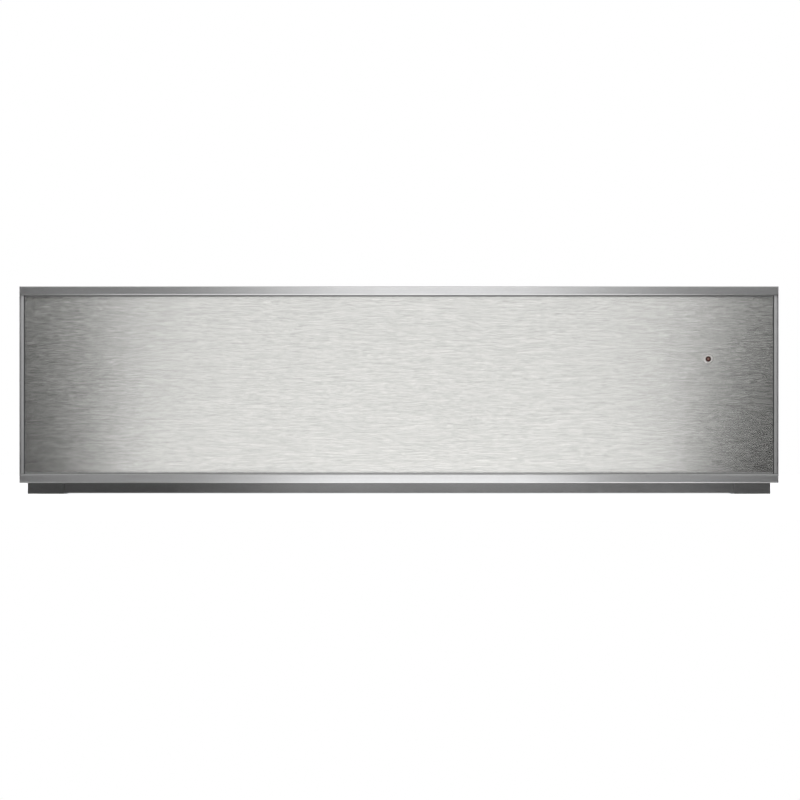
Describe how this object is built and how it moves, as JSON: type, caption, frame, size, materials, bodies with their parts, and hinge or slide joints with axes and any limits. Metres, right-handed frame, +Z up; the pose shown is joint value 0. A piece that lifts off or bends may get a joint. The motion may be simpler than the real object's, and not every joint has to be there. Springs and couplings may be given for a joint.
{
  "type": "warming drawer",
  "caption": "Wide, low push-to-open warming drawer: steel casing, brushed steel front behind glass in a slim frame, full-extension slides, heated floor, fan and controls.",
  "frame": {"origin": "middle of the footprint, on the niche floor that the casing rests on", "axes": "+X to the right seen from the front, +Y from the front to the back, +Z up"},
  "size_m": [0.752, 0.547, 0.2058],
  "materials": {
    "galvanised_sheet": "galvanised sheet with a faint spangle",
    "dark_strip": "satin dark grey coat",
    "zinc_plated": "bright zinc plating",
    "cage_steel": "yellow passivated sheet",
    "black_plastic": "moulded, fine texture",
    "white_plastic": "moulded, smooth",
    "pale_plastic": "moulded, smooth",
    "ribbon_sheath": "ribbed flat sheath",
    "frame_aluminium": "satin anodised",
    "front_glass": "clear toughened, polished edge",
    "black_seal": "matt elastomer",
    "brushed_front": "fine horizontal brushing",
    "mineral_wool": "pressed fibres",
    "stainless_sheet": "satin brushed sheet",
    "bright_ring": "polished",
    "red_lens": "translucent red",
    "board_green": "solder resist",
    "knob_metal": "turned and satin anodised",
    "element_sheath": "heat-darkened sheath",
    "dark_glass": "dark toughened glass, polished",
    "grey_mat": "ribbed silicone",
    "fan_alloy": "pressed sheet",
    "motor_steel": "satin dark grey coat",
    "limiter_can": "pressed can"
  },
  "bodies": {
    "casing": {"base_tray": "galvanised_sheet", "left_side_wall": "galvanised_sheet", "right_side_wall": "galvanised_sheet", "rear_wall": "galvanised_sheet", "top_cover": "galvanised_sheet", "front_strip": "dark_strip", "left_mounting_angle": "dark_strip", "right_mounting_angle": "dark_strip", "casing_screws": "zinc_plated", "left_slide_bracket": "zinc_plated", "right_slide_bracket": "zinc_plated", "left_cabinet_rail": "zinc_plated", "right_cabinet_rail": "zinc_plated", "push_latch_housing": "black_plastic", "latch_spring": "zinc_plated", "terminal_block": "pale_plastic", "cable_gland": "black_plastic", "flexible_lead": "ribbon_sheath"},
    "drawer": {"duct_cover": "galvanised_sheet", "drawer_screws": "zinc_plated", "left_drawer_rail": "zinc_plated", "right_drawer_rail": "zinc_plated", "temperature_selector": "black_plastic", "power_switch": "black_plastic", "top_frame_rail": "frame_aluminium", "bottom_frame_rail": "frame_aluminium", "left_frame_stile": "frame_aluminium", "right_frame_stile": "frame_aluminium", "glass_pane": "front_glass", "glass_seal": "black_seal", "strike_pad": "black_seal", "brushed_backing": "brushed_front", "front_insulation": "mineral_wool", "floor_insulation": "mineral_wool", "inner_front_cover": "stainless_sheet", "control_console": "stainless_sheet", "base_pan": "stainless_sheet", "left_box_side": "stainless_sheet", "right_box_side": "stainless_sheet", "box_rear_panel": "stainless_sheet", "fan_grille": "stainless_sheet", "indicator_bezel": "bright_ring", "indicator_lens": "red_lens", "control_board": "board_green", "heating_element": "element_sheath", "warming_plate": "dark_glass", "anti_slip_mat": "grey_mat", "fan_motor": "motor_steel", "temperature_limiter": "limiter_can"},
    "left_middle_rail": {"left_middle_rail": "zinc_plated"},
    "right_middle_rail": {"right_middle_rail": "zinc_plated"},
    "left_outer_cage": {"left_outer_cage": "cage_steel"},
    "right_outer_cage": {"right_outer_cage": "cage_steel"},
    "left_inner_cage": {"left_inner_cage": "cage_steel"},
    "right_inner_cage": {"right_inner_cage": "cage_steel"},
    "knob": {"temperature_knob": "knob_metal"},
    "button": {"power_button": "knob_metal"},
    "fan": {"fan_wheel": "fan_alloy"},
    "plunger": {"latch_plunger": "white_plastic"}
  },
  "joints": [
    {"name": "drawer_slide", "type": "slide", "parent": "casing", "child": "drawer", "axis": [0, -1, 0], "range_m": [-0.003, 0.43], "deforming": ["flexible_lead", "strike_pad"]},
    {"name": "left_middle_rail_slide", "type": "slide", "parent": "casing", "child": "left_middle_rail", "axis": [0, -1, 0], "range_m": [-0.0015, 0.215]},
    {"name": "left_outer_cage_slide", "type": "slide", "parent": "casing", "child": "left_outer_cage", "axis": [0, -1, 0], "range_m": [-0.00075, 0.1075]},
    {"name": "left_inner_cage_slide", "type": "slide", "parent": "casing", "child": "left_inner_cage", "axis": [0, -1, 0], "range_m": [-0.00225, 0.3225]},
    {"name": "right_middle_rail_slide", "type": "slide", "parent": "casing", "child": "right_middle_rail", "axis": [0, -1, 0], "range_m": [-0.0015, 0.215]},
    {"name": "right_outer_cage_slide", "type": "slide", "parent": "casing", "child": "right_outer_cage", "axis": [0, -1, 0], "range_m": [-0.00075, 0.1075]},
    {"name": "right_inner_cage_slide", "type": "slide", "parent": "casing", "child": "right_inner_cage", "axis": [0, -1, 0], "range_m": [-0.00225, 0.3225]},
    {"name": "temperature_turn", "type": "hinge", "parent": "drawer", "child": "knob", "pos_m": [0.225, -0.2095, 0.175], "axis": [0, 0, 1], "range_deg": [-240, 0]},
    {"name": "power_press", "type": "slide", "parent": "drawer", "child": "button", "axis": [0, 0, -1], "range_m": [0, 0.0015], "stiffness_N_per_m": 600, "springref_m": -0.002},
    {"name": "fan_spin", "type": "hinge", "parent": "drawer", "child": "fan", "pos_m": [0, 0.2, 0.112], "axis": [0, 1, 0], "continuous": true},
    {"name": "latch_press", "type": "slide", "parent": "casing", "child": "plunger", "axis": [0, -1, 0], "range_m": [-0.003, 0], "stiffness_N_per_m": 500, "springref_m": 0.004, "deforming": ["latch_spring"]}
  ],
  "couplings": [
    {"joint": "left_middle_rail_slide", "follows": "drawer_slide", "ratio": 0.5},
    {"joint": "left_outer_cage_slide", "follows": "drawer_slide", "ratio": 0.25},
    {"joint": "left_inner_cage_slide", "follows": "drawer_slide", "ratio": 0.75},
    {"joint": "right_middle_rail_slide", "follows": "drawer_slide", "ratio": 0.5},
    {"joint": "right_outer_cage_slide", "follows": "drawer_slide", "ratio": 0.25},
    {"joint": "right_inner_cage_slide", "follows": "drawer_slide", "ratio": 0.75}
  ]
}
